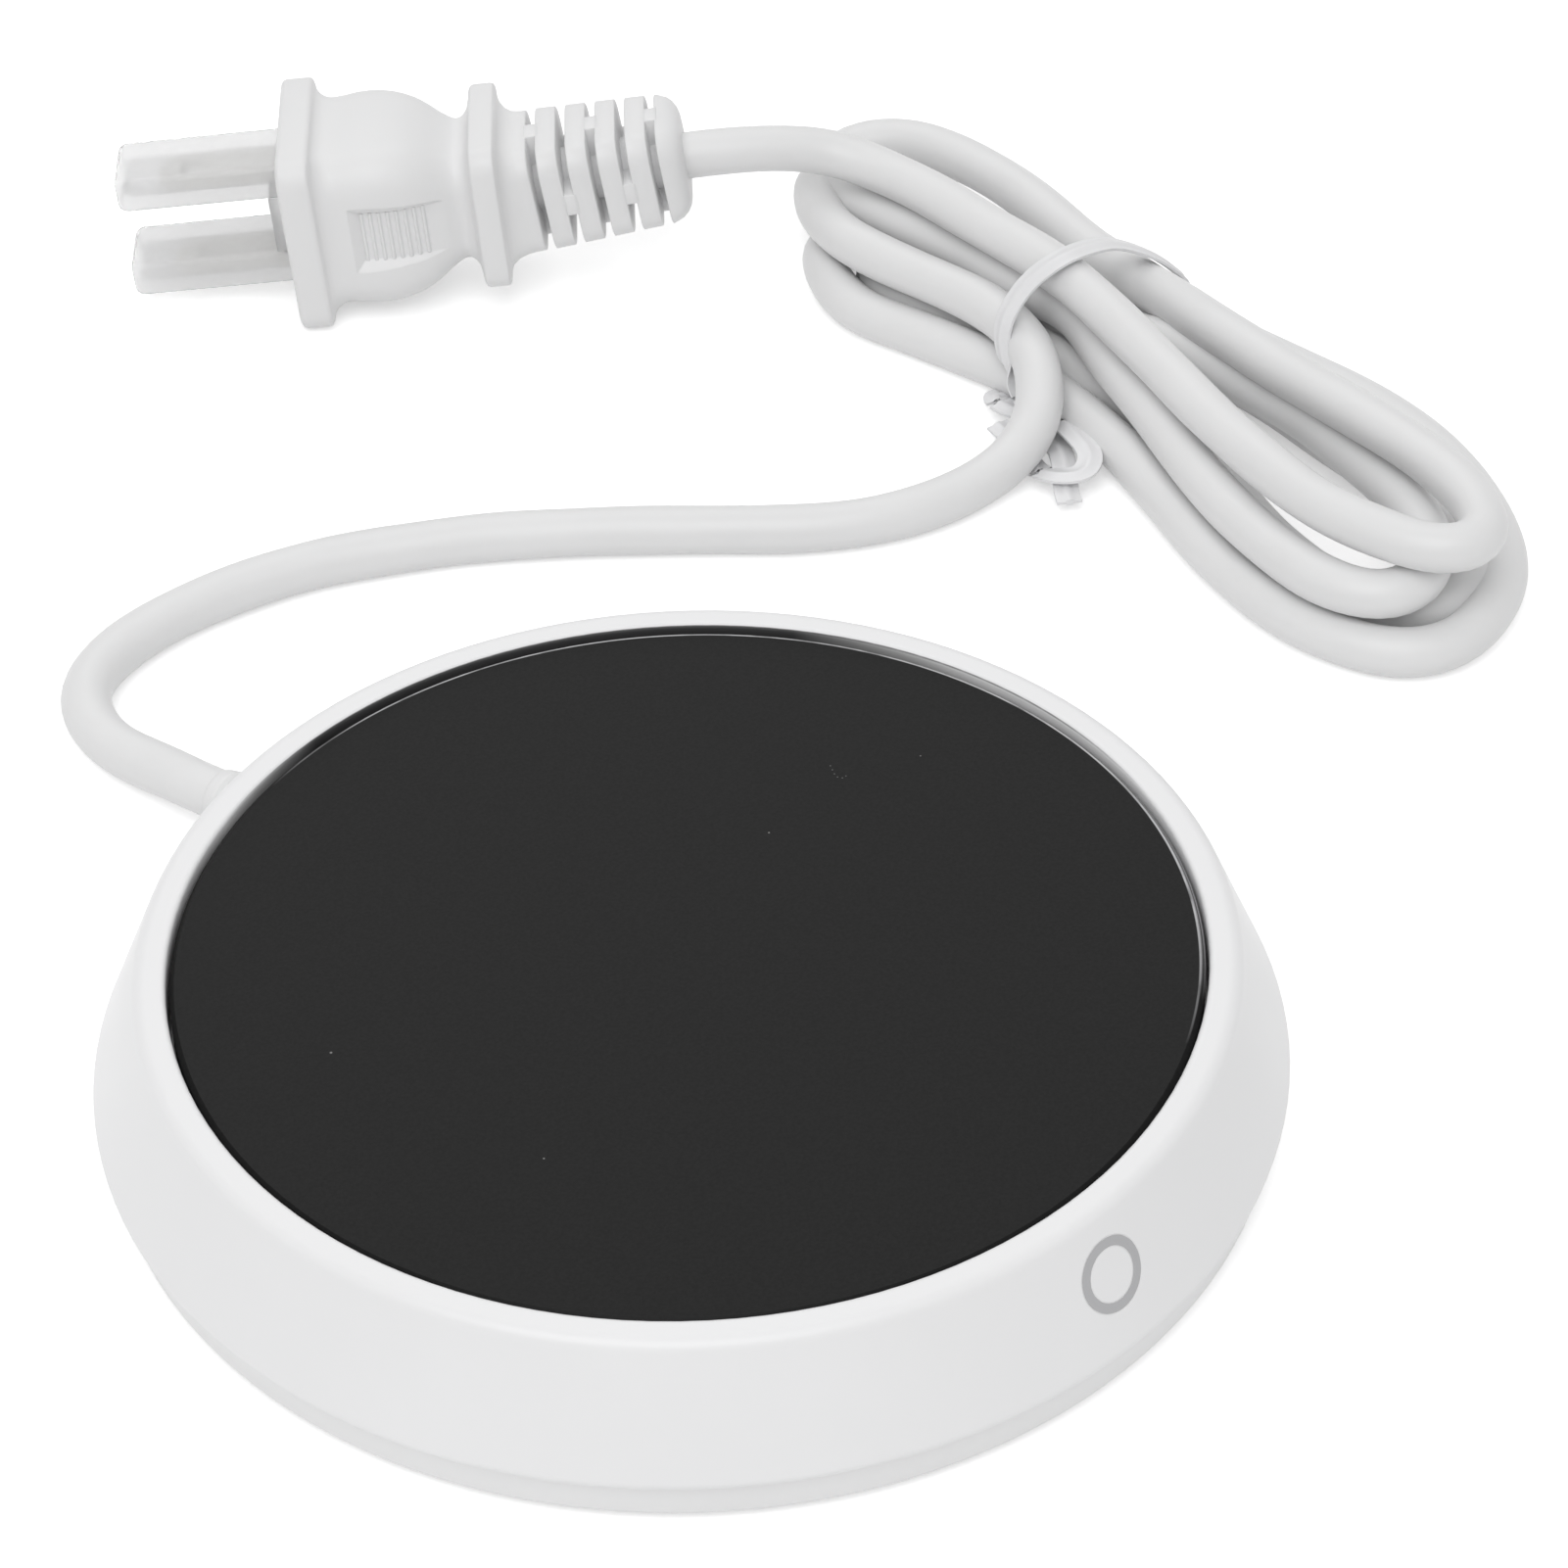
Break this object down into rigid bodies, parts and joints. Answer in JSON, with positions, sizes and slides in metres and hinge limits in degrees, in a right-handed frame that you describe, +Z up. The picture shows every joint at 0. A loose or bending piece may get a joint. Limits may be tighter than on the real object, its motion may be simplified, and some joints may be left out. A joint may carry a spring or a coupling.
{
  "type": "electric mug warmer",
  "caption": "Low round electric mug warmer with a dark glass heating plate that presses a weight switch, a touch key in its skirt, and a mains cord tied in a hank with a two-blade plug.",
  "frame": {"origin": "on the axis of the round housing, at the surface it stands on", "axes": "+Z up out of the heating plate; +Y towards the cord outlet; the touch key faces -Y, 6 degrees off towards -X"},
  "size_m": [0.218, 0.2206, 0.025],
  "materials": {
    "shell_white": "white ABS, fine satin",
    "pan_white": "white ABS, matt",
    "foot_rubber": "matt rubber",
    "screw_steel": "zinc plated",
    "key_grey": "grey inlay",
    "copper_foil": "copper foil",
    "board_green": "solder-masked laminate",
    "led_clear": "moulded lens",
    "black_part": "moulded, matt",
    "capacitor_red": "dipped film capacitor",
    "terminal_green": "moulded, matt",
    "fuse_ceramic": "ceramic tube",
    "plunger_red": "moulded, matt",
    "cord_white": "matt flexible PVC jacket",
    "plug_white": "soft white PVC moulding",
    "clamp_white": "moulded nylon",
    "wire_black": "wire insulation",
    "sleeve_white": "woven glass sleeve",
    "spring_steel": "spring wire",
    "glass_black": "black enamelled glass, satin top, polished bevel",
    "carrier_black": "heat-proof PPS, matt",
    "aluminium": "rolled sheet",
    "mica": "mica sheet",
    "ceramic_felt": "ceramic-fibre felt",
    "plate_steel": "galvanised sheet",
    "tie_white": "paper-and-film tie with a wire core",
    "blade_brass": "nickel-flashed brass",
    "cover_clear": "soft translucent PE"
  },
  "bodies": {
    "housing": {"base_pan": "pan_white", "upper_shell": "shell_white", "rubber_feet": "foot_rubber", "cover_screws": "screw_steel", "touch_ring": "key_grey", "touch_electrode": "copper_foil", "touch_spring": "spring_steel", "touch_board": "board_green", "indicator_led": "led_clear", "control_board": "board_green", "board_screws": "screw_steel", "terminal_block": "terminal_green", "film_capacitor": "capacitor_red", "smoothing_capacitor": "black_part", "mains_fuse": "fuse_ceramic", "triac": "black_part", "controller_chip": "black_part", "weight_switch": "black_part", "cord_stub": "cord_white", "cord_bush": "cord_white", "cord_clamp": "clamp_white", "cord_clamp_screws": "screw_steel", "supply_leads": "wire_black", "heater_leads": "sleeve_white", "plate_springs": "spring_steel", "cord_tail": "cord_white", "cord_hank": "cord_white", "cord_lead": "cord_white", "twist_tie": "tie_white", "plug_moulding": "plug_white", "plug_blades": "blade_brass"},
    "heating_plate": {"glass_plate": "glass_black", "plate_carrier": "carrier_black", "heat_spreader": "aluminium", "heater_disc": "mica", "insulation_pad": "ceramic_felt", "clamp_plate": "plate_steel", "clamp_plate_screws": "screw_steel", "temperature_sensor": "black_part", "thermal_fuse": "fuse_ceramic", "fuse_strap": "plate_steel"},
    "plunger": {"switch_plunger": "plunger_red"},
    "cover": {"blade_cover": "cover_clear"}
  },
  "joints": [
    {"name": "plate_press", "type": "slide", "parent": "housing", "child": "heating_plate", "axis": [0, 0, 1], "range_m": [-0.0008, 0], "stiffness_N_per_m": 1600, "springref_m": 0.0016, "deforming": ["plate_springs", "heater_leads"]},
    {"name": "plunger_travel", "type": "slide", "parent": "housing", "child": "plunger", "axis": [0, 0, 1], "range_m": [-0.0008, 0]},
    {"name": "blade_cover_pull", "type": "slide", "parent": "housing", "child": "cover", "axis": [-0.6596, 0.7482, -0.0715], "range_m": [0, 0.025]}
  ],
  "couplings": [
    {"joint": "plunger_travel", "follows": "plate_press", "ratio": 1}
  ]
}
